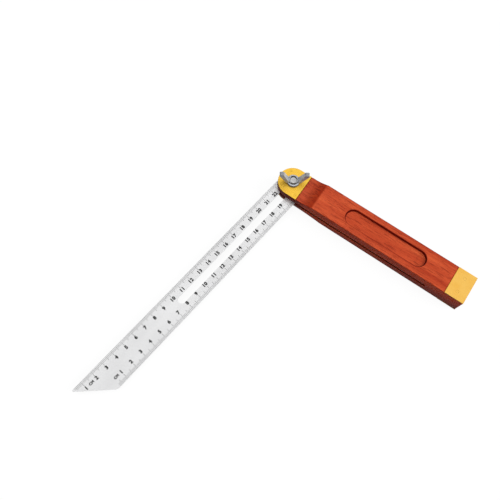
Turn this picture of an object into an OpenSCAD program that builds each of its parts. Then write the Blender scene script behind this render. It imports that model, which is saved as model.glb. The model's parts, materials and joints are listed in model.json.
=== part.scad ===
// Sliding bevel: a wooden stock with brass faced ends and a slotted steel blade.
// The blade swings and slides on a bolt through the round head, under a wing nut.
// The stock lies along +X with its back on Z = 0, and at rest the blade points towards -Y.
// Shapes are drawn round the bolt's axis, then moved so that the origin is under the tool's middle.

/* [Stock] */
// Width of the stock and of its round head
stock_w = 25; // [24:0.5:27]
// Thickness of the stock, from back to front
stock_t = 18; // [17.5:0.5:20]
// From the bolt's axis to the butt end
butt_x = 163; // [158:1:180]
// From the bolt's axis to the closed end of the saw kerf
kerf_end = 133; // [130:1:138]
// Height of the kerf's middle above the back
kerf_z = 7.6; // [7.4:0.1:8]
// Opening of the kerf
kerf_t = 2; // [2:0.1:2.2]

/* [Head] */
// From the bolt's axis to the edge of the flat head
head_x = 10.5; // [9.5:0.5:12]
// Depth of the head below the front face
front_step = 3; // [2.5:0.1:3.5]
// Depth of the head below the back face
back_step = 2.4; // [2.3:0.1:2.6]
// From the bolt's axis to where the front scoop starts to rise
front_rise = 14; // [13:0.5:19]
// From the bolt's axis to the crest of the front scoop
front_crest = 26; // [24:1:30]
// From the bolt's axis to the crest of the back scoop
back_crest = 36; // [30:1:40]

/* [Brass plates] */
// Thickness of the head and butt plates
plate_t = 1; // [0.8:0.1:1.1]
// Length of the butt plates
butt_plate_len = 16.2; // [14:0.2:20]
// Diameter of the pins in the head plates
head_pin_d = 1.6; // [1.2:0.1:2]
// Length of the pins in the head plates
head_pin_len = 3.2; // [2.5:0.1:3.4]
// Diameter of the pins through the butt
butt_pin_d = 2.5; // [2:0.1:3]

/* [Finger recess] */
// From the bolt's axis to the near end of the recess
recess_x = 51; // [45:1:55]
// Length of the recess
recess_len = 72.4; // [60:0.2:80]
// Width of the recess
recess_w = 14; // [10:0.5:16]
// Depth of the recess
recess_depth = 2.2; // [1.5:0.1:2.6]

/* [Blade] */
// Width of the blade
blade_w = 24; // [22:0.5:24]
// Thickness of the blade
blade_t = 1; // [0.8:0.1:1.1]
// From the bolt's axis to the blade's point, at rest
blade_reach = 235.5; // [215:0.5:245]
// Width of the slot
slot_w = 6.2; // [6.2:0.1:6.6]
// From the blade's point to the middle of the slot's outer end
slot_start = 103.5; // [95:0.5:115]
// Rounding of the point
point_r = 0.8; // [0.5:0.1:1.5]
// Rounding of the blunt corner of the angled end
heel_r = 5; // [1:0.5:7]
// Angle between the stock and the blade, at rest
rest_angle = 97; // [95:1:110]

/* [Clamp] */
// Diameter of the bolt
bolt_d = 6; // [5:0.5:6]
// Diameter of the bolt's head
bolt_head_d = 13; // [11:0.5:14]
// Height of the bolt's head
bolt_head_h = 2.1; // [1.8:0.1:2.2]
// Height of the bolt's square neck
neck_h = 2.2; // [1.8:0.1:2.6]
// Diameter of the washer under the wing nut
washer_d = 10.8; // [10:0.2:13]
// Thickness of the washer under the wing nut
washer_t = 0.5; // [0.4:0.1:1]
// Diameter of the friction washers in the kerf
friction_d = 16; // [13:0.5:18]
// Thickness of the friction washers
friction_t = 0.35; // [0.2:0.05:0.4]

/* [Wing nut] */
// Diameter of the flange
flange_d = 10.4; // [10:0.2:12.4]
// Thickness of the flange
flange_t = 1.4; // [1:0.1:1.6]
// Diameter of the hub, at its foot
hub_d = 8; // [7.6:0.1:9]
// Height of the hub's top above the nut's underside
hub_h = 2.7; // [2.2:0.1:3.2]
// From the bolt's axis to the middle of a wing's tip
wing_reach = 10.2; // [9.5:0.1:11]
// Height of a wing's tip above the nut's underside
wing_rise = 12.8; // [10:0.1:14]
// Width of a wing's tip, out from the axis
wing_tip = 3.7; // [3:0.1:4.2]
// Thickness of a wing's tip, round the axis
wing_tip_t = 3.4; // [2.4:0.1:4]
// Thickness of a wing's foot, round the axis
wing_foot_t = 5.2; // [4:0.1:6]
// Turn of the wings from the stock's line
wing_turn = 33; // [0:1:180]

/* [Hidden] */
$fn = 96;
// Play round the bolt and the pins, and between faces that rub
bolt_play = 0.1;
neck_play = 0.05;
pin_play = 0.02;
rub_play = 0.05;
// Joint line between the head plates and the wood
seam = 0.1;
// How far a cutter runs past what it cuts
over = 1;
head_r = stock_w / 2;
front_z = stock_t - front_step;
back_z = back_step;
butt_plate_x = butt_x - butt_plate_len;
bolt_r = bolt_d / 2;
bolt_hole_r = bolt_r + bolt_play;
washer_z = front_z + rub_play;
nut_z = washer_z + washer_t + rub_play;
// How far the bolt's end lies below the hub's top
bolt_low = 0.8;
bolt_end = nut_z + hub_h - bolt_low;
bolt_chamfer = 0.4;
bolt_rim = 0.4;
// How much narrower the hub's radius is at its top
hub_taper = 0.4;
wing_corner_r = 1.2;
// Where a wing's edges start: the inner one inside the hub's foot, the outer one up the flange's rim
wing_inset = 0.7;
wing_foot = 0.3;
butt_pin_y = stock_w / 4;
head_pin_places = [for (side = [-1, 1]) for (p = [[-0.54, 0.57], [0.64, 0.72]]) [p.x, side * p.y] * head_r];
butt_pin_places = [for (side = [-1, 1]) [butt_x - butt_plate_len / 2, side * butt_pin_y]];
// The blade runs along +X here, with its long edge on the -Y side
half_w = blade_w / 2;
point_c = [blade_reach - point_r * (1 + sqrt(2)), point_r - half_w];
heel_c = [blade_reach - blade_w - heel_r * (sqrt(2) - 1), half_w - heel_r];
cut_normal = [1, 1] / sqrt(2);
slot_len = blade_reach - slot_start;
// Lowest corner of the whole tool in plan, at the rounded point of the blade
low_x = point_c.x * cos(rest_angle) + point_c.y * sin(rest_angle) - point_r;
low_y = point_c.y * cos(rest_angle) - point_c.x * sin(rest_angle) - point_r;
frame_shift = -[(low_x + butt_x) / 2, (low_y + head_r) / 2, 0];

// Puts what is drawn round the bolt's axis where it belongs in the tool
module place(z = 0) {
    translate(frame_shift + [0, 0, z]) children();
}

// Turns a shape drawn for the front face over to the back face
module on_back() {
    mirror([0, 0, 1]) children();
}

module stock_outline() {
    circle(head_r);
    translate([0, -head_r]) square([butt_x, stock_w]);
}

// Cutter for the head end of a face whose surface is at Z = 0: the plate's bed, the head's flat, the scoop
module head_cutter(step, rise, crest) {
    run = crest - rise;
    scoop_r = (run * run + step * step) / (2 * step);
    translate([-head_r - over, -head_r - over, -step - plate_t])
        cube([head_r + over + head_x, stock_w + 2 * over, step + plate_t + over]);
    translate([0, -head_r - over, -step])
        cube([rise, stock_w + 2 * over, step + over]);
    intersection() {
        translate([rise, 0, scoop_r - step])
            rotate([90, 0, 0])
                cylinder(r = scoop_r, h = stock_w + 2 * over, center = true, $fn = 360);
        translate([rise, -head_r - over, -step - over])
            cube([run + over, stock_w + 2 * over, step + 2 * over]);
    }
}

// Long finger recess with round ends, let into a face at Z = 0
module recess_cutter() {
    translate([recess_x + recess_w / 2, 0, -recess_depth]) {
        cylinder(d = recess_w, h = recess_depth + over);
        translate([recess_len - recess_w, 0, 0]) cylinder(d = recess_w, h = recess_depth + over);
        translate([0, -recess_w / 2, 0]) cube([recess_len - recess_w, recess_w, recess_depth + over]);
    }
}

module butt_bed_cutter() {
    translate([butt_plate_x, -head_r - over, -plate_t])
        cube([butt_plate_len + over, stock_w + 2 * over, plate_t + over]);
}

module pins(places, d, len) {
    for (p = places) translate(p) cylinder(d = d, h = len);
}

// Everything that is cut into one face of the stock, whose surface is at Z = 0
module face_cutter(step, rise, crest) {
    head_cutter(step, rise, crest);
    recess_cutter();
    butt_bed_cutter();
    translate([0, 0, -step - head_pin_len])
        pins(head_pin_places, head_pin_d + 2 * pin_play, head_pin_len + over);
}

module square_neck(play, h) {
    side = bolt_d + 2 * play;
    translate([-side / 2, -side / 2, 0]) cube([side, side, h]);
}

module handle_stock() {
    color("#c8502d") place() difference() {
        linear_extrude(stock_t) stock_outline();
        translate([0, 0, stock_t]) face_cutter(front_step, front_rise, front_crest);
        on_back() face_cutter(back_step, head_x, back_crest);
        translate([-head_r - over, -head_r - over, kerf_z - kerf_t / 2])
            cube([kerf_end + head_r + over, stock_w + 2 * over, kerf_t]);
        cylinder(r = bolt_hole_r, h = stock_t);
        translate([0, 0, back_z]) square_neck(neck_play, neck_h + neck_play);
        pins(butt_pin_places, butt_pin_d + 2 * pin_play, stock_t);
    }
}

// Plate for one face of the head, with its outer face on top
module head_plate() {
    difference() {
        linear_extrude(plate_t) intersection() {
            stock_outline();
            translate([-head_r, -head_r]) square([head_r + head_x - seam, stock_w]);
        }
        translate([0, 0, -over]) pins(head_pin_places, head_pin_d + 2 * pin_play, plate_t + 2 * over);
    }
}

module head_plate_front() {
    color("#fdc73c") place(front_z - plate_t) difference() {
        head_plate();
        translate([0, 0, -over]) cylinder(r = bolt_hole_r, h = plate_t + 2 * over);
    }
}

module head_plate_back() {
    color("#fdc73c") place(back_z) difference() {
        head_plate();
        translate([0, 0, -over]) square_neck(neck_play, plate_t + 2 * over);
    }
}

module head_pins_front() {
    color("#f0bb4a") place(front_z - head_pin_len) pins(head_pin_places, head_pin_d, head_pin_len);
}

module head_pins_back() {
    color("#f0bb4a") place(back_z) pins(head_pin_places, head_pin_d, head_pin_len);
}

module butt_plate() {
    difference() {
        translate([butt_plate_x, -head_r, 0]) cube([butt_plate_len, stock_w, plate_t]);
        translate([0, 0, -over]) pins(butt_pin_places, butt_pin_d + 2 * pin_play, plate_t + 2 * over);
    }
}

module butt_plate_front() {
    color("#f6c15a") place(stock_t - plate_t) butt_plate();
}

module butt_plate_back() {
    color("#f6c15a") place() butt_plate();
}

module butt_pins() {
    color("#f0bb4a") place() pins(butt_pin_places, butt_pin_d, stock_t);
}

// Domed head on the back plate, square neck, and shank up to the wing nut
module pivot_bolt() {
    dome_h = bolt_head_h - bolt_rim;
    head_edge_r = bolt_head_d / 2;
    dome_r = (head_edge_r * head_edge_r + dome_h * dome_h) / (2 * dome_h);
    shank_len = bolt_end - back_z;
    color("#c4c6ca") place(back_z) {
        translate([0, 0, -bolt_rim]) cylinder(d = bolt_head_d, h = bolt_rim);
        intersection() {
            translate([0, 0, dome_r - bolt_head_h]) sphere(dome_r);
            translate([0, 0, -bolt_head_h]) cylinder(d = bolt_head_d, h = dome_h);
        }
        square_neck(0, neck_h);
        cylinder(r = bolt_r, h = shank_len - bolt_chamfer);
        translate([0, 0, shank_len - bolt_chamfer])
            cylinder(r1 = bolt_r, r2 = bolt_r - bolt_chamfer, h = bolt_chamfer);
    }
}

module ring(d, hole_r, t) {
    difference() {
        cylinder(d = d, h = t);
        translate([0, 0, -over]) cylinder(r = hole_r, h = t + 2 * over);
    }
}

module nut_washer() {
    color("#b9bbbf") place(washer_z) ring(washer_d, bolt_hole_r, washer_t);
}

// Where a line from point p touches a wing's corner circle round c, on its left (1) or right (-1) side
function touch(p, c, side) =
    let (d = norm(c - p), turn = atan2(c.y - p.y, c.x - p.x) + side * asin(wing_corner_r / d))
    p + sqrt(d * d - wing_corner_r * wing_corner_r) * [cos(turn), sin(turn)];

// A wing seen from the side: it leans outwards from the hub and widens to a flat tip with rounded corners
module wing_profile() {
    tip_c = [wing_reach, wing_rise - wing_corner_r];
    inner_c = tip_c - [wing_tip / 2 - wing_corner_r, 0];
    outer_c = tip_c + [wing_tip / 2 - wing_corner_r, 0];
    inner_root = [hub_d / 2 - wing_inset, flange_t];
    outer_root = [flange_d / 2, wing_foot];
    polygon([
        inner_root, outer_root, touch(outer_root, outer_c, -1), outer_c + [0, wing_corner_r],
        inner_c + [0, wing_corner_r], touch(inner_root, inner_c, 1)
    ]);
    for (c = [inner_c, outer_c]) translate(c) circle(wing_corner_r);
}

// A wing seen along its radius: it narrows upwards, drawn past both of its ends
module wing_taper() {
    slope = (wing_foot_t - wing_tip_t) / (2 * wing_rise);
    low = wing_foot_t / 2 + slope * over;
    high = wing_tip_t / 2 - slope * over;
    polygon([[-low, -over], [low, -over], [high, wing_rise + over], [-high, wing_rise + over]]);
}

module wing() {
    intersection() {
        rotate([90, 0, 0]) linear_extrude(wing_foot_t + 2 * over, center = true) wing_profile();
        rotate([90, 0, 90]) linear_extrude(wing_reach + wing_tip) wing_taper();
    }
}

module wing_nut() {
    color("#a9abb0") place(nut_z) rotate(wing_turn) difference() {
        union() {
            cylinder(d = flange_d, h = flange_t);
            translate([0, 0, flange_t])
                cylinder(d1 = hub_d, d2 = hub_d - 2 * hub_taper, h = hub_h - flange_t);
            for (turn = [0, 180]) rotate(turn) wing();
        }
        translate([0, 0, -over]) cylinder(r = bolt_r + neck_play, h = hub_h + 2 * over);
    }
}

module friction_washer_front() {
    color("#d9b25a") place(kerf_z + blade_t / 2 + rub_play)
        ring(friction_d, bolt_hole_r, friction_t);
}

module friction_washer_back() {
    color("#d9b25a") place(kerf_z - blade_t / 2 - rub_play - friction_t)
        ring(friction_d, bolt_hole_r, friction_t);
}

// Straight part of the blade, a round inner end on the bolt's axis, and a slanted end with rounded corners
module blade_outline() {
    circle(half_w);
    polygon([
        [0, -half_w], [point_c.x, -half_w], point_c + point_r * cut_normal,
        heel_c + heel_r * cut_normal, [heel_c.x, half_w], [0, half_w]
    ]);
    translate(point_c) circle(point_r);
    translate(heel_c) circle(heel_r);
}

module slot_outline() {
    circle(d = slot_w);
    translate([0, -slot_w / 2]) square([slot_len, slot_w]);
    translate([slot_len, 0]) circle(d = slot_w);
}

module blade() {
    color("#dfe1e3") place(kerf_z - blade_t / 2) rotate(-rest_angle) linear_extrude(blade_t) difference() {
        blade_outline();
        slot_outline();
    }
}

handle_stock();
head_plate_front();
head_plate_back();
head_pins_front();
head_pins_back();
butt_plate_front();
butt_plate_back();
butt_pins();
pivot_bolt();
nut_washer();
wing_nut();
friction_washer_front();
friction_washer_back();
blade();
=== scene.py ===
# Looks of the sliding bevel: finishes, softened edges, the blade's printed scales, studio light and camera.
# Everything is in metres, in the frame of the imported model: the stock lies along +X with its back on Z = 0.
import json
import math

import bmesh
import bpy
from mathutils import Euler, Matrix, Vector


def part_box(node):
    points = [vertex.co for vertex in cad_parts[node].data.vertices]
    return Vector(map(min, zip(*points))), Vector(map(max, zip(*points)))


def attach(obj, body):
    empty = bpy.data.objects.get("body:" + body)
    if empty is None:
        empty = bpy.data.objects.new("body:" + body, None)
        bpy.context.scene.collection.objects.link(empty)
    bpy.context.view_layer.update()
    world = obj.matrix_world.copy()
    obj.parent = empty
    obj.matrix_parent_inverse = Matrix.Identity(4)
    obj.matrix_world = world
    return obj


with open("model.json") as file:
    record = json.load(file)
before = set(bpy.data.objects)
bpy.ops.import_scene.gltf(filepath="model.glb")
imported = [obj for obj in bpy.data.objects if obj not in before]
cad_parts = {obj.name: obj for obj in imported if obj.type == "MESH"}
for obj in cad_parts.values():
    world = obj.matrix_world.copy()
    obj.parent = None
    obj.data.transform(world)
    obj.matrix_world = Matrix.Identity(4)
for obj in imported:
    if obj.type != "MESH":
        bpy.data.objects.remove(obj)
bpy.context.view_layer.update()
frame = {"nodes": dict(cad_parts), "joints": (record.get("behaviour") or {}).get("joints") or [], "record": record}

MM = 0.001
CM = 10 * MM
ALONG = (1.0, 0.0, 0.0)
UP = (0.0, 0.0, 1.0)
WHITE = (1.0, 1.0, 1.0, 1.0)
JOINTS = {joint["name"]: joint for joint in frame["joints"]}

# How far the long scale's zero lies from the bolt, and the short scale's zero from that one
LONG_ZERO = 236.0 * MM
SHORT_ZERO = 24.93 * MM


def grey(value):
    return (value, value, value)


class Tree:
    """A node tree, with short calls for the nodes that the finishes and the studio share."""

    def __init__(self, tree):
        self.nodes = tree.nodes
        self.links = tree.links

    def feed(self, node, inputs):
        """Sets or links a node's inputs, by name or by number."""
        for name, value in inputs.items():
            if isinstance(value, bpy.types.NodeSocket):
                self.links.new(value, node.inputs[name])
            else:
                node.inputs[name].default_value = value

    def add(self, kind, inputs, **settings):
        node = self.nodes.new(kind)
        for name, value in settings.items():
            setattr(node, name, value)
        self.feed(node, inputs)
        return node

    def math(self, operation, *values):
        """A number worked out from one or two others."""
        return self.add("ShaderNodeMath", dict(enumerate(values)), operation=operation).outputs[0]

    def product(self, first, *others):
        """Several masks multiplied together."""
        for other in others:
            first = self.math("MULTIPLY", first, other)
        return first

    def vector(self, operation, output, *values):
        """A vector or a number worked out from one or two vectors."""
        node = self.add("ShaderNodeVectorMath", dict(enumerate(values)), operation=operation)
        return node.outputs[output]

    def fit(self, value, source, target):
        """Maps a value from one span to another, and stops at its ends."""
        inputs = {
            "Value": value,
            "From Min": source[0],
            "From Max": source[1],
            "To Min": target[0],
            "To Max": target[1],
        }
        return self.add("ShaderNodeMapRange", inputs).outputs["Result"]

    def mask(self, value, span):
        """0 before a span and 1 after it, with an even rise between."""
        return self.fit(value, span, (0.0, 1.0))

    def below(self, value, top, fade):
        """1 below a limit and 0 above it, with a soft change just before it."""
        return self.fit(value, (top - fade, top), (1.0, 0.0))

    def distance(self, value, middle):
        """How far a value lies from a middle, to either side."""
        return self.math("ABSOLUTE", self.math("SUBTRACT", value, middle))


class Look(Tree):
    """One material's node tree, with calls for patterns and for places on the piece."""

    def __init__(self, name, constants):
        self.material = bpy.data.materials.new(name)
        self.material.use_nodes = True
        super().__init__(self.material.node_tree)
        self.surface = self.nodes["Principled BSDF"]
        self.feed(self.surface, constants)

    def point(self):
        """Where the surface lies in the piece's frame, in metres."""
        return self.add("ShaderNodeTexCoord", {}).outputs["Object"]

    def place(self, axis):
        """Where the surface lies along one of the piece's axes, in metres."""
        return self.add("ShaderNodeSeparateXYZ", {"Vector": self.point()}).outputs[axis]

    def radius(self, centre):
        """Distance from an upright axis in the piece's frame, in metres."""
        flat = self.add("ShaderNodeCombineXYZ", {"X": self.place("X"), "Y": self.place("Y")}).outputs[0]
        return self.vector("DISTANCE", "Value", flat, (centre.x, centre.y, 0.0))

    def near_height(self, height, half):
        """1 within a half span of a height in the piece's frame, else 0."""
        return self.math("COMPARE", self.place("Z"), height, half)

    def facing(self, way):
        """How squarely the surface faces along a direction in the piece's frame, to either side: 0 to 1."""
        normal = self.add("ShaderNodeTexCoord", {}).outputs["Normal"]
        return self.math("ABSOLUTE", self.vector("DOT_PRODUCT", "Value", normal, way))

    def space(self, size, turn=0.0, centre=(0.0, 0.0, 0.0)):
        """Texture space with units of the given size in metres, along axes turned about Z."""
        inputs = {"Vector": self.point(), "Location": centre, "Rotation": (0.0, 0.0, turn), "Scale": size}
        return self.add("ShaderNodeMapping", inputs, vector_type="TEXTURE").outputs["Vector"]

    def noise(self, space, detail=2.0, roughness=0.5, distortion=0.0):
        inputs = {
            "Vector": space,
            "Scale": 1.0,
            "Detail": detail,
            "Roughness": roughness,
            "Distortion": distortion,
        }
        return self.add("ShaderNodeTexNoise", inputs).outputs["Fac"]

    def ramp(self, factor, *stops):
        node = self.add("ShaderNodeValToRGB", {"Fac": factor})
        elements = node.color_ramp.elements
        while len(elements) < len(stops):
            elements.new(1.0)
        for element, (place, colour) in zip(elements, stops):
            element.position = place
            element.color = (*colour, 1.0)
        return node.outputs["Color"]

    def mix(self, factor, first, second, blend="MIX"):
        """Goes from the first colour to the second, which may be a plain one."""
        if not isinstance(second, bpy.types.NodeSocket):
            second = (*second, 1.0)
        inputs = {0: factor, 6: first, 7: second}
        return self.add("ShaderNodeMix", inputs, data_type="RGBA", blend_type=blend).outputs[2]

    def tint(self, colour, tone, factor=1.0):
        """Multiplies a colour by a tone, as far as the factor says."""
        return self.mix(factor, colour, tone, "MULTIPLY")

    def bump(self, height, depth):
        node = self.add("ShaderNodeBump", {"Height": height, "Distance": depth, "Strength": 1.0})
        self.feed(self.surface, {"Normal": node.outputs["Normal"]})


# Wood: size of one wave of its patterns along, across and through the stock, and how far they lean
BAND_SIZE = (95 * MM, 6 * MM, 8 * MM)
FIBRE_SIZE = (16 * MM, 0.5 * MM, 0.5 * MM)
STREAK_SIZE = (11 * MM, 1.1 * MM, 1.4 * MM)
PORE_SIZE = (3.4 * MM, 0.2 * MM, 0.2 * MM)
GRAIN_LEAN = math.radians(2.5)

# Colours of the bands, and the tones by which fibres, streaks, pores and the turn to end grain multiply them; the
# turn's middle tones paint shade on gentle slopes such as the scoop's
BAND_COLOURS = ((0.28, (0.50, 0.052, 0.016)), (0.50, (0.66, 0.090, 0.029)), (0.72, (0.79, 0.132, 0.042)))
FIBRE_TONES = ((0.30, grey(0.72)), (0.66, grey(1.06)))
FIBRE_SHARE = 0.75
STREAK_TONES = ((0.34, (0.58, 0.46, 0.44)), (0.48, grey(1.0)))
PORE_TONES = ((0.30, (0.50, 0.42, 0.40)), (0.38, grey(1.0)))
END_GRAIN_AND_SHADE_TONES = (
    (0.04, grey(1.0)),
    (0.23, (0.78, 0.62, 0.46)),
    (0.45, (0.70, 0.34, 0.16)),
    (0.95, (0.40, 0.26, 0.20)),
)

# Lacquer: roughness along the fibres, shine by how squarely a face looks up, and relief of fibres and pores
FIBRE_SPAN = (0.3, 0.7)
WOOD_ROUGHNESS = (0.5, 0.38)
SHINE_FACING = (0.8, 1.0)
WOOD_SHINE = (0.04, 0.18)
PORE_SPAN = (0.28, 0.38)
PORE_RELIEF = (0.0, 1.5)
GRAIN_DEPTH = 0.02 * MM

# Painted shade on the head and its scoop: its reach from the bolt, all round and on the sides, its soft end, and
# its tones
SHADE_REACH = 27.0 * MM
SIDE_SHADE_REACH = 20.0 * MM
SHADE_FADE = 8.0 * MM
HEAD_SHADE_TONE = (0.84, 0.80, 0.90)
SIDE_SHADE_TONE = (0.36, 0.24, 0.26)

# How squarely a face looks up where it starts to be level and where it fully is, and the tone of the others
LEVEL_FACING = (0.72, 0.86)
SLOPE_TONE = (1.18, 0.90, 0.80)

# Painted shade on the lower part of the stock's sides: its height, and the stretch from the bolt over which its
# share grows
LOW_SHADE_TOP = 13.0 * MM
LOW_SHADE_SPAN = (20.0 * MM, 150.0 * MM)
LOW_SHADE_SHARE = (0.1, 1.0)
LOW_SHADE_TONE = (0.30, 0.24, 0.28)

# Finger recess, from the bolt: middle of its length, half its straight part and the radius of its ends, and
# where the painted shade on its wall is full and where it ends, to either side of the rim
RECESS_MIDDLE = 87.2 * MM
RECESS_STRAIGHT = 29.2 * MM
RECESS_RADIUS = 7.0 * MM
RECESS_RIM = (0.3 * MM, 0.75 * MM)
RECESS_SHADE_TONE = (0.34, 0.16, 0.16)

# Painted shade along the stock's far edge: where it starts and is full, from the middle, and which faces it is on
EDGE_LINE = (11.5 * MM, 12.2 * MM)
UPPER_FACING = (0.3, 0.6)
EDGE_SHADE_TONE = (0.62, 0.46, 0.56)

# Half of the kerf's opening, with a little over, and the near-black painted shade on its faces
KERF_HALF = 1.05 * MM
KERF_SHADE_COLOUR = (0.05, 0.014, 0.006)


def wood_grain(look):
    """Colour of the clean wood, with the fibres and pores that shape its surface, and painted shade on slopes that
    face along the stock.
    """
    bands = look.noise(look.space(BAND_SIZE, GRAIN_LEAN), detail=3, roughness=0.55, distortion=0.5)
    fibres = look.noise(look.space(FIBRE_SIZE, GRAIN_LEAN), detail=4, roughness=0.62)
    streaks = look.noise(look.space(STREAK_SIZE, -GRAIN_LEAN), detail=3, roughness=0.6)
    pores = look.noise(look.space(PORE_SIZE, GRAIN_LEAN), detail=1)
    colour = look.ramp(bands, *BAND_COLOURS)
    colour = look.tint(colour, look.ramp(fibres, *FIBRE_TONES), FIBRE_SHARE)
    colour = look.tint(colour, look.ramp(streaks, *STREAK_TONES))
    colour = look.tint(colour, look.ramp(pores, *PORE_TONES))
    # Darker end grain, and painted shade on the gentle slopes that face along the stock, such as the scoop before
    # the head
    colour = look.tint(colour, look.ramp(look.facing(ALONG), *END_GRAIN_AND_SHADE_TONES))
    return colour, fibres, pores


def wood_stains(look, colour, bolt, level):
    """Darkens the head and its scoop with painted shade, most of all the head's sides, and paints shade on the low
    parts of the sides towards the butt.
    """
    along = look.place("X")
    # Painted shade on the head and the scoop before it
    colour = look.tint(colour, HEAD_SHADE_TONE, look.below(along, bolt.x + SHADE_REACH, SHADE_FADE))
    colour = look.mix(level, look.tint(colour, SLOPE_TONE), colour)
    side = look.math("SUBTRACT", look.below(along, bolt.x + SIDE_SHADE_REACH, SHADE_FADE), level)
    # Painted shade on the head's sides
    colour = look.tint(colour, SIDE_SHADE_TONE, look.mask(side, (0.0, 1.0)))
    low = look.below(look.place("Z"), LOW_SHADE_TOP, LOW_SHADE_TOP)
    share = look.fit(along, [bolt.x + end for end in LOW_SHADE_SPAN], LOW_SHADE_SHARE)
    low = look.product(low, share, look.math("SUBTRACT", 1.0, level))
    # Painted shade on the low parts of the sides, growing towards the butt
    return look.tint(colour, LOW_SHADE_TONE, low)


def recess_rim(look, bolt):
    """1 on the wall of the finger recess, fading to either side of its rim; it carries painted shade."""
    from_middle = look.distance(look.place("X"), bolt.x + RECESS_MIDDLE)
    from_line = look.distance(look.place("Y"), bolt.y)
    past_straight = look.math("MAXIMUM", look.math("SUBTRACT", from_middle, RECESS_STRAIGHT), 0.0)
    reach = look.add("ShaderNodeCombineXYZ", {"X": past_straight, "Y": from_line}).outputs[0]
    reach = look.vector("LENGTH", "Value", reach)
    return look.fit(look.distance(reach, RECESS_RADIUS), RECESS_RIM, (1.0, 0.0))


def far_edge(look, bolt):
    """1 along the upper far edge of the stock, where shade is painted."""
    across = look.math("SUBTRACT", look.place("Y"), bolt.y)
    return look.product(look.mask(across, EDGE_LINE), look.mask(look.facing(UP), UPPER_FACING))


def wood_look(bolt, kerf_z):
    """Red-orange hardwood under a satin lacquer, with broad bands, fine fibres and short dark pores.

    The end grain is darker, and painted shade darkens the slopes that face along the stock, the head, the low
    parts of the sides, the wall of the finger recess, the far edge and the faces of the kerf.
    """
    look = Look("stock_wood", {})
    level = look.mask(look.facing(UP), LEVEL_FACING)
    colour, fibres, pores = wood_grain(look)
    # Painted shade on the head, its sides and the low parts of the sides
    colour = wood_stains(look, colour, bolt, level)
    # Painted shade on the wall of the finger recess
    colour = look.tint(colour, RECESS_SHADE_TONE, recess_rim(look, bolt))
    # Painted shade along the upper far edge
    colour = look.tint(colour, EDGE_SHADE_TONE, far_edge(look, bolt))
    # Near-black painted shade on the kerf's inner faces
    colour = look.mix(look.product(look.near_height(kerf_z, KERF_HALF), level), colour, KERF_SHADE_COLOUR)
    look.feed(look.surface, {
        "Base Color": colour,
        "Roughness": look.fit(fibres, FIBRE_SPAN, WOOD_ROUGHNESS),
        "Specular IOR Level": look.fit(look.facing(UP), SHINE_FACING, WOOD_SHINE),
    })
    look.bump(look.math("ADD", fibres, look.fit(pores, PORE_SPAN, PORE_RELIEF)), GRAIN_DEPTH)
    return look


# Brass: colour and line of brushing of the head plates, the butt's plates and the other small pieces; the butt's
# paler colour holds a painted sheen
PLATE_BRASS = {"tint": (1.0, 0.63, 0.074), "turn": 0.0}
BUTT_BRASS_WITH_SHEEN = {"tint": (0.95, 0.57, 0.12), "turn": math.radians(90)}
PIN_BRASS = {"tint": (0.97, 0.60, 0.09), "turn": math.radians(40)}

# Its clouds and its brushing, with the part of the colour that is left in the duller clouds
BRASS_METALLIC = 0.75
BRASS_CLOUD_SIZE = (9 * MM, 7 * MM, 7 * MM)
BRASS_CLOUD_SPAN = (0.3, 0.7)
BRASS_CLOUD_TONE = (0.97, 0.90, 0.72)
BRASS_BRUSH_SIZE = (14 * MM, 0.09 * MM, 0.09 * MM)
BRASS_BRUSH_TONES = ((0.3, grey(0.90)), (0.7, grey(1.0)))
BRASS_BRUSH_SHARE = 0.5
BRASS_BRUSH_DEPTH = 0.006 * MM
BRASS_ROUGHNESS = (0.36, 0.50)

# Its sides: how squarely a face looks up where it is fully a side and where it is none, the sides' painted shade,
# and what they add to the roughness
BRASS_SIDES = (0.6, 0.97)
BRASS_SIDE_SHADE_TONE = (0.16, 0.11, 0.09)
BRASS_SIDE_ROUGHNESS = (0.25, 0.0)

# Blade: its clouds and its brushing
STEEL_METALLIC = 0.8
STEEL_CLOUD_SIZE = (30 * MM, 9 * MM, 9 * MM)
STEEL_COLOURS = ((0.3, (0.795, 0.795, 0.80)), (0.7, (0.855, 0.855, 0.86)))
STEEL_BRUSH_SIZE = (22 * MM, 0.07 * MM, 0.07 * MM)
STEEL_BRUSH_TONES = ((0.3, grey(0.88)), (0.7, grey(1.0)))
STEEL_BRUSH_SHARE = 0.6
STEEL_BRUSH_DEPTH = 0.004 * MM
STEEL_ROUGHNESS = (0.30, 0.46)

# Its slow change of tone, from 0 at the long scale's zero to 1 at the bolt; the brightest tone, near the bolt, is
# painted light over the head's shadow
STEEL_LENGTH_TONES_AND_LIGHT = (
    (0.25, grey(0.95)),
    (0.48, grey(1.0)),
    (0.66, grey(0.945)),
    (0.84, grey(1.0)),
    (0.93, grey(1.1)),
)

# Span of the brushing over which brass and blade go from smooth to rough
BRUSH_SPAN = (0.25, 0.75)


def brass_look(name, tint, turn):
    """Satin brass, finely brushed and a little clouded, with painted shade on its sides."""
    look = Look(name, {"Metallic": BRASS_METALLIC})
    brushing = look.noise(look.space(BRASS_BRUSH_SIZE, turn), detail=3, roughness=0.6)
    cloud = look.noise(look.space(BRASS_CLOUD_SIZE), detail=3)
    dull = tuple(part * scale for part, scale in zip(tint, BRASS_CLOUD_TONE))
    colour = look.ramp(cloud, *zip(BRASS_CLOUD_SPAN, (dull, tint)))
    colour = look.tint(colour, look.ramp(brushing, *BRASS_BRUSH_TONES), BRASS_BRUSH_SHARE)
    face = look.facing(UP)
    # Painted shade on the plates' sides
    colour = look.tint(colour, look.ramp(face, *zip(BRASS_SIDES, (BRASS_SIDE_SHADE_TONE, grey(1.0)))))
    rough = look.math(
        "ADD",
        look.fit(brushing, BRUSH_SPAN, BRASS_ROUGHNESS),
        look.fit(face, BRASS_SIDES, BRASS_SIDE_ROUGHNESS),
    )
    look.feed(look.surface, {"Base Color": colour, "Roughness": rough})
    look.bump(brushing, BRASS_BRUSH_DEPTH)
    return look


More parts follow.
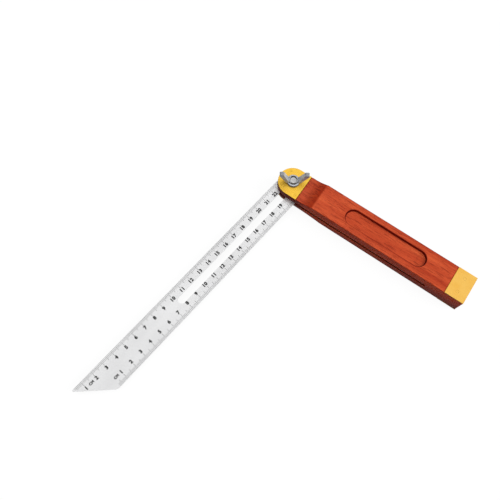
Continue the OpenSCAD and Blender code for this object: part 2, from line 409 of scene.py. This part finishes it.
def blade_look(turn, bolt):
    """Stainless steel, brushed along the blade, with a slow change of tone from its point to the bolt, and painted
    light close to the head.
    """
    look = Look("blade_steel", {"Metallic": STEEL_METALLIC})
    brushing = look.noise(look.space(STEEL_BRUSH_SIZE, turn), detail=3, roughness=0.65)
    cloud = look.noise(look.space(STEEL_CLOUD_SIZE, turn), detail=2)
    colour = look.ramp(cloud, *STEEL_COLOURS)
    colour = look.tint(colour, look.ramp(brushing, *STEEL_BRUSH_TONES), STEEL_BRUSH_SHARE)
    from_bolt = look.space((LONG_ZERO, 1.0, 1.0), turn, bolt)
    inwards = look.add("ShaderNodeSeparateXYZ", {"Vector": from_bolt}).outputs["X"]
    # Slow change of tone along the blade, with painted light near the bolt where the head's shadow falls
    colour = look.tint(colour, look.ramp(look.mask(inwards, (-1.0, 0.0)), *STEEL_LENGTH_TONES_AND_LIGHT))
    rough = look.fit(brushing, BRUSH_SPAN, STEEL_ROUGHNESS)
    look.feed(look.surface, {"Base Color": colour, "Roughness": rough})
    look.bump(brushing, STEEL_BRUSH_DEPTH)
    return look


# Zinc plate: dark and light of its mottle, its share of metal, and the colour of the painted highlight on the
# wings' edges
BOLT_ZINC = {"dark": grey(0.56), "light": grey(0.70), "metal": 0.2, "edge_highlight": grey(0.66)}
NUT_ZINC = {
    "dark": (0.43, 0.455, 0.49),
    "light": (0.58, 0.61, 0.65),
    "metal": 0.1,
    "edge_highlight": (0.54, 0.565, 0.595),
}
MOTTLE_SIZE = (1.3 * MM, 1.3 * MM, 1.3 * MM)
MOTTLE_STOPS = (0.32, 0.68)
MOTTLE_SPAN = (0.3, 0.7)
ZINC_ROUGHNESS = (0.24, 0.40)
DENT_SIZE = (0.35 * MM, 0.35 * MM, 0.35 * MM)
DENT_DEPTH = 0.01 * MM

# Wings: their turn from the stock's line, how squarely their edges with a painted highlight face along their own
# line, and over which heights above the nut's underside their ends get painted shade
WING_TURN = math.radians(33)
WING_LINE = (math.cos(WING_TURN), math.sin(WING_TURN), 0.0)
HIGHLIGHT_FACING = (0.6, 0.9)
WING_END_SHADE_SPAN = (10.9 * MM, 11.9 * MM)
WING_END_SHADE_TONE = (0.58, 0.57, 0.58)

# Painted shade on the clamp's upright faces: up to the flange's top, over the nut's underside, and close to the
# bolt up to the hub's top
FLANGE_TOP = 1.4 * MM
HUB_TOP = 2.7 * MM
HUB_REACH = 4.1 * MM
UPRIGHT_FACING = 0.85
UPRIGHT_FADE = 0.3
NUT_SHADE_FADE = 0.3 * MM
NUT_SHADE_TONE = (0.14, 0.12, 0.11)

# Painted shade in the ring round the bolt's end: its radii, how sharply it starts, and its half span along the
# wings
COLLAR = (3.02 * MM, 4.05 * MM)
COLLAR_START = 0.02 * MM
COLLAR_HALF = 2.6 * MM
COLLAR_HALF_FADE = 0.9 * MM
COLLAR_TOP_FADE = 0.15 * MM

# Painted shade on the washer's edge: middle and half of its height, over the nut's underside, and its share
WASHER_MIDDLE = -0.25 * MM
WASHER_HALF = 0.35 * MM
WASHER_SHADE_SHARE = 0.8


def thread_dirt(look, foot):
    """1 on upright faces below the flange's top, and round the bolt's thread up to the hub's top, where shade is
    painted.
    """
    height = look.place("Z")
    thread = look.product(
        look.below(height, foot.z + HUB_TOP, NUT_SHADE_FADE),
        look.below(look.radius(foot), HUB_REACH + NUT_SHADE_FADE, NUT_SHADE_FADE),
    )
    low = look.math("MAXIMUM", thread, look.below(height, foot.z + FLANGE_TOP, NUT_SHADE_FADE))
    return look.product(low, look.below(look.facing(UP), UPRIGHT_FACING, UPRIGHT_FADE))


def collar_dirt(look, foot):
    """1 in the ring round the bolt's end, on the hub's top between the wings, where shade is painted."""
    arm = look.vector("SUBTRACT", "Vector", look.point(), foot)
    along_wings = look.math("ABSOLUTE", look.vector("DOT_PRODUCT", "Value", arm, WING_LINE))
    return look.product(
        look.below(look.radius(foot), COLLAR[1], NUT_SHADE_FADE),
        look.mask(look.radius(foot), (COLLAR[0] - COLLAR_START, COLLAR[0])),
        look.below(along_wings, COLLAR_HALF, COLLAR_HALF_FADE),
        look.below(look.place("Z"), foot.z + HUB_TOP + NUT_SHADE_FADE, COLLAR_TOP_FADE),
    )


def plated_look(name, dark, light, metal, edge_highlight):
    """Zinc plate with a fine mottle of crystals, a painted highlight on the wings' edges and painted shade at
    their ends.

    It carries painted shade round the bolt, below the nut's flange and on the washer's edge.
    """
    look = Look(name, {"Metallic": metal})
    mottle = look.noise(look.space(MOTTLE_SIZE), detail=3, roughness=0.6)
    dents = look.noise(look.space(DENT_SIZE), detail=2)
    colour = look.ramp(mottle, *zip(MOTTLE_STOPS, (dark, light)))
    # Painted highlight on faces that look along the wings
    colour = look.mix(look.mask(look.facing(WING_LINE), HIGHLIGHT_FACING), colour, edge_highlight)
    foot = Vector(JOINTS["wing_nut_turn"]["pos_m"])
    # Painted shade on the wings' upper ends
    ends = look.mask(look.place("Z"), [foot.z + height for height in WING_END_SHADE_SPAN])
    colour = look.tint(colour, WING_END_SHADE_TONE, ends)
    # Painted shade on the washer's edge
    washer = look.product(look.near_height(foot.z + WASHER_MIDDLE, WASHER_HALF), WASHER_SHADE_SHARE)
    # Painted shade round the bolt and below the nut's flange
    nut_shade = look.math("MAXIMUM", thread_dirt(look, foot), collar_dirt(look, foot))
    colour = look.tint(colour, NUT_SHADE_TONE, look.math("MAXIMUM", nut_shade, washer))
    rough = look.fit(mottle, MOTTLE_SPAN, ZINC_ROUGHNESS)
    look.feed(look.surface, {"Base Color": colour, "Roughness": rough})
    look.bump(dents, DENT_DEPTH)
    return look


# Softened edges: width and steps of each piece's rounding
SOFT_EDGES = {
    "handle_stock": (0.45 * MM, 3),
    "head_plate_front": (0.15 * MM, 3),
    "head_plate_back": (0.15 * MM, 3),
    "butt_plate_front": (0.07 * MM, 2),
    "butt_plate_back": (0.07 * MM, 2),
    "blade": (0.12 * MM, 2),
    "nut_washer": (0.2 * MM, 3),
    "pivot_bolt": (0.12 * MM, 3),
}
WELD_REACH = 0.001 * MM
FLAT_ANGLE = math.radians(0.3)
SHARP_ANGLE = math.radians(35)
LARGE_FACE_WEIGHT = 100

# Wing nut: cell size of its even skin, and the strength and number of the passes that smooth it
NUT_VOXEL = 0.12 * MM
NUT_SMOOTHING = 0.5
NUT_PASSES = 3


def soften(node, width, steps):
    """Rounds a node's sharp edges with modifiers, so that its own mesh stays as it is."""
    obj = frame["nodes"][node]
    weld = obj.modifiers.new("weld", "WELD")
    weld.merge_threshold = WELD_REACH
    flat = obj.modifiers.new("flat", "DECIMATE")
    flat.decimate_type = "DISSOLVE"
    flat.angle_limit = FLAT_ANGLE
    bevel = obj.modifiers.new("edges", "BEVEL")
    bevel.width = width
    bevel.segments = steps
    bevel.limit_method = "ANGLE"
    bevel.angle_limit = SHARP_ANGLE
    bevel.use_clamp_overlap = False
    bevel.miter_outer = "MITER_ARC"
    normals = obj.modifiers.new("normals", "WEIGHTED_NORMAL")
    normals.weight = LARGE_FACE_WEIGHT


def melt(node, voxel, smoothing, passes):
    """Rounds a pressed piece all over: an even skin, then smoothing, both as modifiers."""
    obj = frame["nodes"][node]
    skin = obj.modifiers.new("skin", "REMESH")
    skin.mode = "VOXEL"
    skin.voxel_size = voxel
    skin.use_smooth_shade = True
    smooth = obj.modifiers.new("smooth", "SMOOTH")
    smooth.factor = smoothing
    smooth.iterations = passes


def finish_node(node, look):
    obj = frame["nodes"][node]
    obj.data.materials.clear()
    obj.data.materials.append(look.material)


def dress_nodes():
    bolt = Vector(JOINTS["blade_swing"]["pos_m"])
    inwards = JOINTS["blade_slide"]["axis"]
    blade_low, blade_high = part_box("blade")
    plate = brass_look("plate_brass", **PLATE_BRASS)
    # The butt's brass is paler, with a painted sheen in its colour
    butt = brass_look("butt_brass", **BUTT_BRASS_WITH_SHEEN)
    by_slot = {
        "stock_wood": wood_look(bolt, (blade_low.z + blade_high.z) / 2),
        "plate_brass": plate,
        "pin_brass": brass_look("pin_brass", **PIN_BRASS),
        "plated_steel": plated_look("plated_steel", **BOLT_ZINC),
        "nut_steel": plated_look("nut_steel", **NUT_ZINC),
        "blade_steel": blade_look(math.atan2(inwards[1], inwards[0]), bolt),
    }
    by_node = {
        "butt_plate_front": butt,
        "butt_plate_back": butt,
        "butt_pins": butt,
        "head_pins_front": plate,
        "head_pins_back": plate,
    }
    for subpart in frame["record"]["subparts"]:
        node = subpart["node"]
        finish_node(node, by_node.get(node, by_slot[subpart["material_slot"]]))
    for node, (width, steps) in SOFT_EDGES.items():
        soften(node, width, steps)
    melt("wing_nut", NUT_VOXEL, NUT_SMOOTHING, NUT_PASSES)


# Each printed scale in the blade's own frame: its zero, the way in from its edge, its first and last mark,
# its last figure, how far from the edge the row of figures stands, and where the unit stands in that row
SCALES = {
    "long_scale": {
        "zero": -LONG_ZERO,
        "side": -1,
        "first_mm": 2,
        "marks_cm": 23,
        "figures_cm": 22,
        "row": 6.57 * MM,
        "unit_cm": 1.5,
    },
    "short_scale": {
        "zero": SHORT_ZERO - LONG_ZERO,
        "side": 1,
        "first_mm": 3,
        "marks_cm": 20,
        "figures_cm": 19,
        "row": 7.21 * MM,
        "unit_cm": 0.52,
    },
}

# Characters: their height and its share of the font's size, the steps of a curve in their outlines, their
# spacing, the band that makes them bold, and the least divisor at a sharp corner of that band
UNIT = "CM"
FIGURE_HEIGHT = 2.68 * MM
UNIT_HEIGHT = 1.85 * MM
FONT_SHARE = 0.69
FONT_STEPS = 4
SPACING = 1.12
FIGURE_BOLD = 0.24 * MM
UNIT_BOLD = 0.17 * MM
MITER_LEAST = 0.5

# Marks by their step in mm, the gaps at the blade's edge and before its angled end, and the shortest mark
TICK_LENGTHS = {1: 2.5 * MM, 5: 3.9 * MM, 10: 4.7 * MM}
TICK_WIDTHS = {1: 0.19 * MM, 5: 0.21 * MM, 10: 0.22 * MM}
TICK_INSET = 0.15 * MM
CUT_MARGIN = 0.8 * MM
TICK_LEAST = 1.0 * MM

# Ink over and under the blade's face, and the distance within which two of its points are one
INK_ABOVE = 0.02 * MM
INK_BELOW = 0.01 * MM
SAME_POINT = 0.0005 * MM

# Wear of the ink: size of its spots, and their colours and roughness
WEAR_SIZE = (0.8 * MM, 0.8 * MM, 0.8 * MM)
INK_COLOURS = ((0.55, grey(0.006)), (0.8, grey(0.05)))
INK_SHINE = 0.3
WEAR_SPAN = (0.3, 0.7)
INK_ROUGHNESS = (0.62, 0.45)


def ink_look():
    """Black print, worn a little thin in spots."""
    look = Look("scale_ink", {"Specular IOR Level": INK_SHINE})
    wear = look.noise(look.space(WEAR_SIZE), detail=3)
    look.feed(look.surface, {
        "Base Color": look.ramp(wear, *INK_COLOURS),
        "Roughness": look.fit(wear, WEAR_SPAN, INK_ROUGHNESS),
    })
    return look


def blade_place():
    """The blade's own frame at the bolt: X inwards along it, Y to its long edge, and Z = 0 on its face."""
    inwards = Vector(JOINTS["blade_slide"]["axis"]).normalized()
    across = Vector((-inwards.y, inwards.x, 0.0))
    place = Matrix.Identity(4)
    place.col[0].xyz = inwards
    place.col[1].xyz = across
    place.translation = Vector(JOINTS["blade_swing"]["pos_m"])
    place.translation.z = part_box("blade")[1].z
    return place


def blade_span(place):
    """Half width of the blade and its outermost point, in its own frame."""
    into = place.inverted()
    corners = [into @ vertex.co for vertex in frame["nodes"]["blade"].data.vertices]
    return max(corner.y for corner in corners), min(corner.x for corner in corners)


def add_bar(bm, low, high):
    """A thin closed bar between two corners."""
    size = Matrix.Diagonal((high - low).to_4d())
    size[3][3] = 1.0
    bmesh.ops.create_cube(bm, size=1.0, matrix=Matrix.Translation((low + high) / 2) @ size)


def text_mesh(text, height):
    """Flat printed characters, centred on their own box, with figures of the given height."""
    curve = bpy.data.curves.new("text", "FONT")
    curve.body = text
    curve.size = height / FONT_SHARE
    curve.space_character = SPACING
    curve.resolution_u = FONT_STEPS
    curve.fill_mode = "FRONT"
    holder = bpy.data.objects.new("text", curve)
    bpy.context.scene.collection.objects.link(holder)
    mesh = bpy.data.meshes.new_from_object(holder.evaluated_get(bpy.context.evaluated_depsgraph_get()))
    bpy.data.objects.remove(holder)
    bpy.data.curves.remove(curve)
    corners = [vertex.co for vertex in mesh.vertices]
    low = Vector([min(corner[axis] for corner in corners) for axis in range(3)])
    high = Vector([max(corner[axis] for corner in corners) for axis in range(3)])
    mesh.transform(Matrix.Translation(-(low + high) / 2))
    return mesh


def widen(bm, reach):
    """Makes flat shapes bolder: a band of faces round their outlines, which leaves their counters open."""
    outline = [edge.link_loops[0] for edge in bm.edges if edge.is_boundary]
    pushes = {}
    for loop in outline:
        ends = (loop.vert, loop.link_loop_next.vert)
        outwards = (ends[1].co - ends[0].co).normalized().cross(loop.face.normal)
        for vertex in ends:
            pushes.setdefault(vertex, []).append(outwards)
    rim = {}
    for vertex, ways in pushes.items():
        miter = max(1.0 + ways[0].dot(ways[1]), MITER_LEAST)
        rim[vertex] = bm.verts.new(vertex.co + sum(ways, Vector()) * reach / miter)
    for first, second in [(loop.vert, loop.link_loop_next.vert) for loop in outline]:
        bm.faces.new((second, first, rim[first], rim[second]))


def stamp(bm, text, height, bold, x, y):
    """Adds printed characters as a thin closed layer of ink on the blade's face."""
    flat = bmesh.new()
    outline = text_mesh(text, height)
    flat.from_mesh(outline)
    bpy.data.meshes.remove(outline)
    bmesh.ops.remove_doubles(flat, verts=flat.verts, dist=SAME_POINT)
    flat.normal_update()
    widen(flat, bold)
    bmesh.ops.translate(flat, verts=flat.verts, vec=(x, y, -INK_BELOW))
    layer = bmesh.ops.extrude_face_region(flat, geom=flat.faces[:], use_keep_orig=True)
    top = [part for part in layer["geom"] if isinstance(part, bmesh.types.BMVert)]
    bmesh.ops.translate(flat, verts=top, vec=(0.0, 0.0, INK_ABOVE + INK_BELOW))
    bmesh.ops.recalc_face_normals(flat, faces=flat.faces)
    mesh = bpy.data.meshes.new("stamp")
    flat.to_mesh(mesh)
    flat.free()
    bm.from_mesh(mesh)
    bpy.data.meshes.remove(mesh)


def print_piece(bm, name, look, place):
    """Makes one printed piece of what was drawn in the blade's own frame."""
    bmesh.ops.remove_doubles(bm, verts=bm.verts, dist=SAME_POINT)
    bm.transform(place)
    mesh = bpy.data.meshes.new(name)
    bm.to_mesh(mesh)
    bm.free()
    mesh.materials.append(look.material)
    piece = bpy.data.objects.new(name, mesh)
    bpy.context.scene.collection.objects.link(piece)
    return piece


def scale_marks(scale, half, tip):
    """Millimetre marks along one edge of the blade, cut short where its angled end comes near."""
    bm = bmesh.new()
    start = scale["side"] * (TICK_INSET - half)
    for mark in range(scale["first_mm"], scale["marks_cm"] * 10 + 1):
        kind = max(step for step in TICK_LENGTHS if mark % step == 0)
        x = scale["zero"] + mark * MM
        length = min(TICK_LENGTHS[kind], x - tip - CUT_MARGIN - TICK_INSET)
        if length < TICK_LEAST:
            continue
        y = sorted((start, start + scale["side"] * length))
        wide = TICK_WIDTHS[kind] / 2
        add_bar(bm, Vector((x - wide, y[0], -INK_BELOW)), Vector((x + wide, y[1], INK_ABOVE)))
    return bm


def scale_figures(scale, half):
    """Centimetre figures of one scale, with the unit's letters among them."""
    bm = bmesh.new()
    row = scale["side"] * (scale["row"] - half)
    for number in range(1, scale["figures_cm"] + 1):
        stamp(bm, str(number), FIGURE_HEIGHT, FIGURE_BOLD, scale["zero"] + number * CM, row)
    stamp(bm, UNIT, UNIT_HEIGHT, UNIT_BOLD, scale["zero"] + scale["unit_cm"] * CM, row)
    return bm


def print_scales():
    look = ink_look()
    place = blade_place()
    half, tip = blade_span(place)
    for name, scale in SCALES.items():
        drawn = {"marks": scale_marks(scale, half, tip), "figures": scale_figures(scale, half)}
        for kind, bm in drawn.items():
            piece = print_piece(bm, f"{name}_{kind}", look, place)
            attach(piece, "blade")


# Camera that took the photograph, found from the scale on the blade
CAMERA_PLACE = Vector((16.37, -91.5, 437.1)) * MM
CAMERA_TURN = Euler([math.radians(angle) for angle in (19.486, -1.985, 34.572)])
CAMERA_LENS = 41.194
CAMERA_SENSOR = 36.0
CAMERA_NEAR = 10 * MM

# Light: a low soft lamp beyond the butt, a wide one overhead, neither mirrored in metal, and an even sky
KEY_LAMP = {"direction": (0.75, 0.45, 0.55), "distance": 6.0, "size": 4.8, "power": 264.0}
TOP_LAMP = {"direction": (-0.1, 0.0, 1.0), "distance": 1.7, "size": 1.6, "power": 14.6}
SKY_LIGHT = 0.17

# Floor: half its width, its cells each way, its gap below the stock, how much light it throws back and how
# deep its shadows are, and its own glow, which turns to the sky's white over a stretch away from the tool
FLOOR_HALF = 4.0
FLOOR_CELLS = 8
FLOOR_GAP = 0.2 * MM
FLOOR_BOUNCE = grey(0.12)
FLOOR_SHADOW = grey(0.11)
FLOOR_GLOW = (0.92, 1.0)
FLOOR_FADE = (0.6, 2.0)


def seen_rays(tree):
    """1 for rays that show the surroundings to the eye, straight, mirrored or through glass, else 0."""
    path = tree.add("ShaderNodeLightPath", {}).outputs
    seen = tree.math("MAXIMUM", path["Is Camera Ray"], path["Is Glossy Ray"])
    seen = tree.math("MAXIMUM", seen, path["Is Transmission Ray"])
    return tree.product(seen, tree.math("LESS_THAN", path["Diffuse Depth"], 0.5))


def make_world():
    world = bpy.data.worlds.new("studio")
    world.use_nodes = True
    bpy.context.scene.world = world
    tree = Tree(world.node_tree)
    strength = tree.fit(seen_rays(tree), (0.0, 1.0), (SKY_LIGHT, 1.0))
    tree.feed(tree.nodes["Background"], {"Color": WHITE, "Strength": strength})


def floor_look():
    """White to the eye, with soft shadows, and a dim surface to the light that it throws back."""
    look = Look("floor", {})
    look.nodes.remove(look.surface)
    bounce = look.add("ShaderNodeBsdfDiffuse", {"Color": (*FLOOR_BOUNCE, 1.0)}).outputs[0]
    shadow = look.add("ShaderNodeBsdfDiffuse", {"Color": (*FLOOR_SHADOW, 1.0)}).outputs[0]
    away = look.vector("LENGTH", "Value", look.point())
    glow = look.add("ShaderNodeEmission", {"Strength": look.fit(away, FLOOR_FADE, FLOOR_GLOW)}).outputs[0]
    pale = look.add("ShaderNodeAddShader", {0: shadow, 1: glow}).outputs[0]
    choice = look.add("ShaderNodeMixShader", {0: seen_rays(look), 1: bounce, 2: pale}).outputs[0]
    look.feed(look.nodes["Material Output"], {"Surface": choice})
    return look


def make_floor():
    bm = bmesh.new()
    bmesh.ops.create_grid(bm, x_segments=FLOOR_CELLS, y_segments=FLOOR_CELLS, size=FLOOR_HALF)
    bmesh.ops.translate(bm, verts=bm.verts, vec=(0.0, 0.0, -FLOOR_GAP))
    mesh = bpy.data.meshes.new("floor")
    bm.to_mesh(mesh)
    bm.free()
    mesh.materials.append(floor_look().material)
    floor = bpy.data.objects.new("floor", mesh)
    bpy.context.scene.collection.objects.link(floor)


def make_lamp(name, direction, distance, size, power):
    lamp = bpy.data.lights.new(name, "AREA")
    lamp.shape = "DISK"
    lamp.size = size
    lamp.energy = power
    obj = bpy.data.objects.new(name, lamp)
    towards = Vector(direction).normalized()
    obj.location = towards * distance
    obj.rotation_euler = towards.to_track_quat("Z", "Y").to_euler()
    obj.visible_glossy = False
    bpy.context.scene.collection.objects.link(obj)


def make_camera():
    data = bpy.data.cameras.new("camera")
    data.lens = CAMERA_LENS
    data.sensor_width = CAMERA_SENSOR
    data.clip_start = CAMERA_NEAR
    camera = bpy.data.objects.new("camera", data)
    camera.location = CAMERA_PLACE
    camera.rotation_euler = CAMERA_TURN
    bpy.context.scene.collection.objects.link(camera)
    bpy.context.scene.camera = camera


dress_nodes()
print_scales()
make_world()
make_floor()
make_lamp("key", **KEY_LAMP)
make_lamp("top", **TOP_LAMP)
make_camera()
bpy.context.scene.view_settings.view_transform = "Standard"
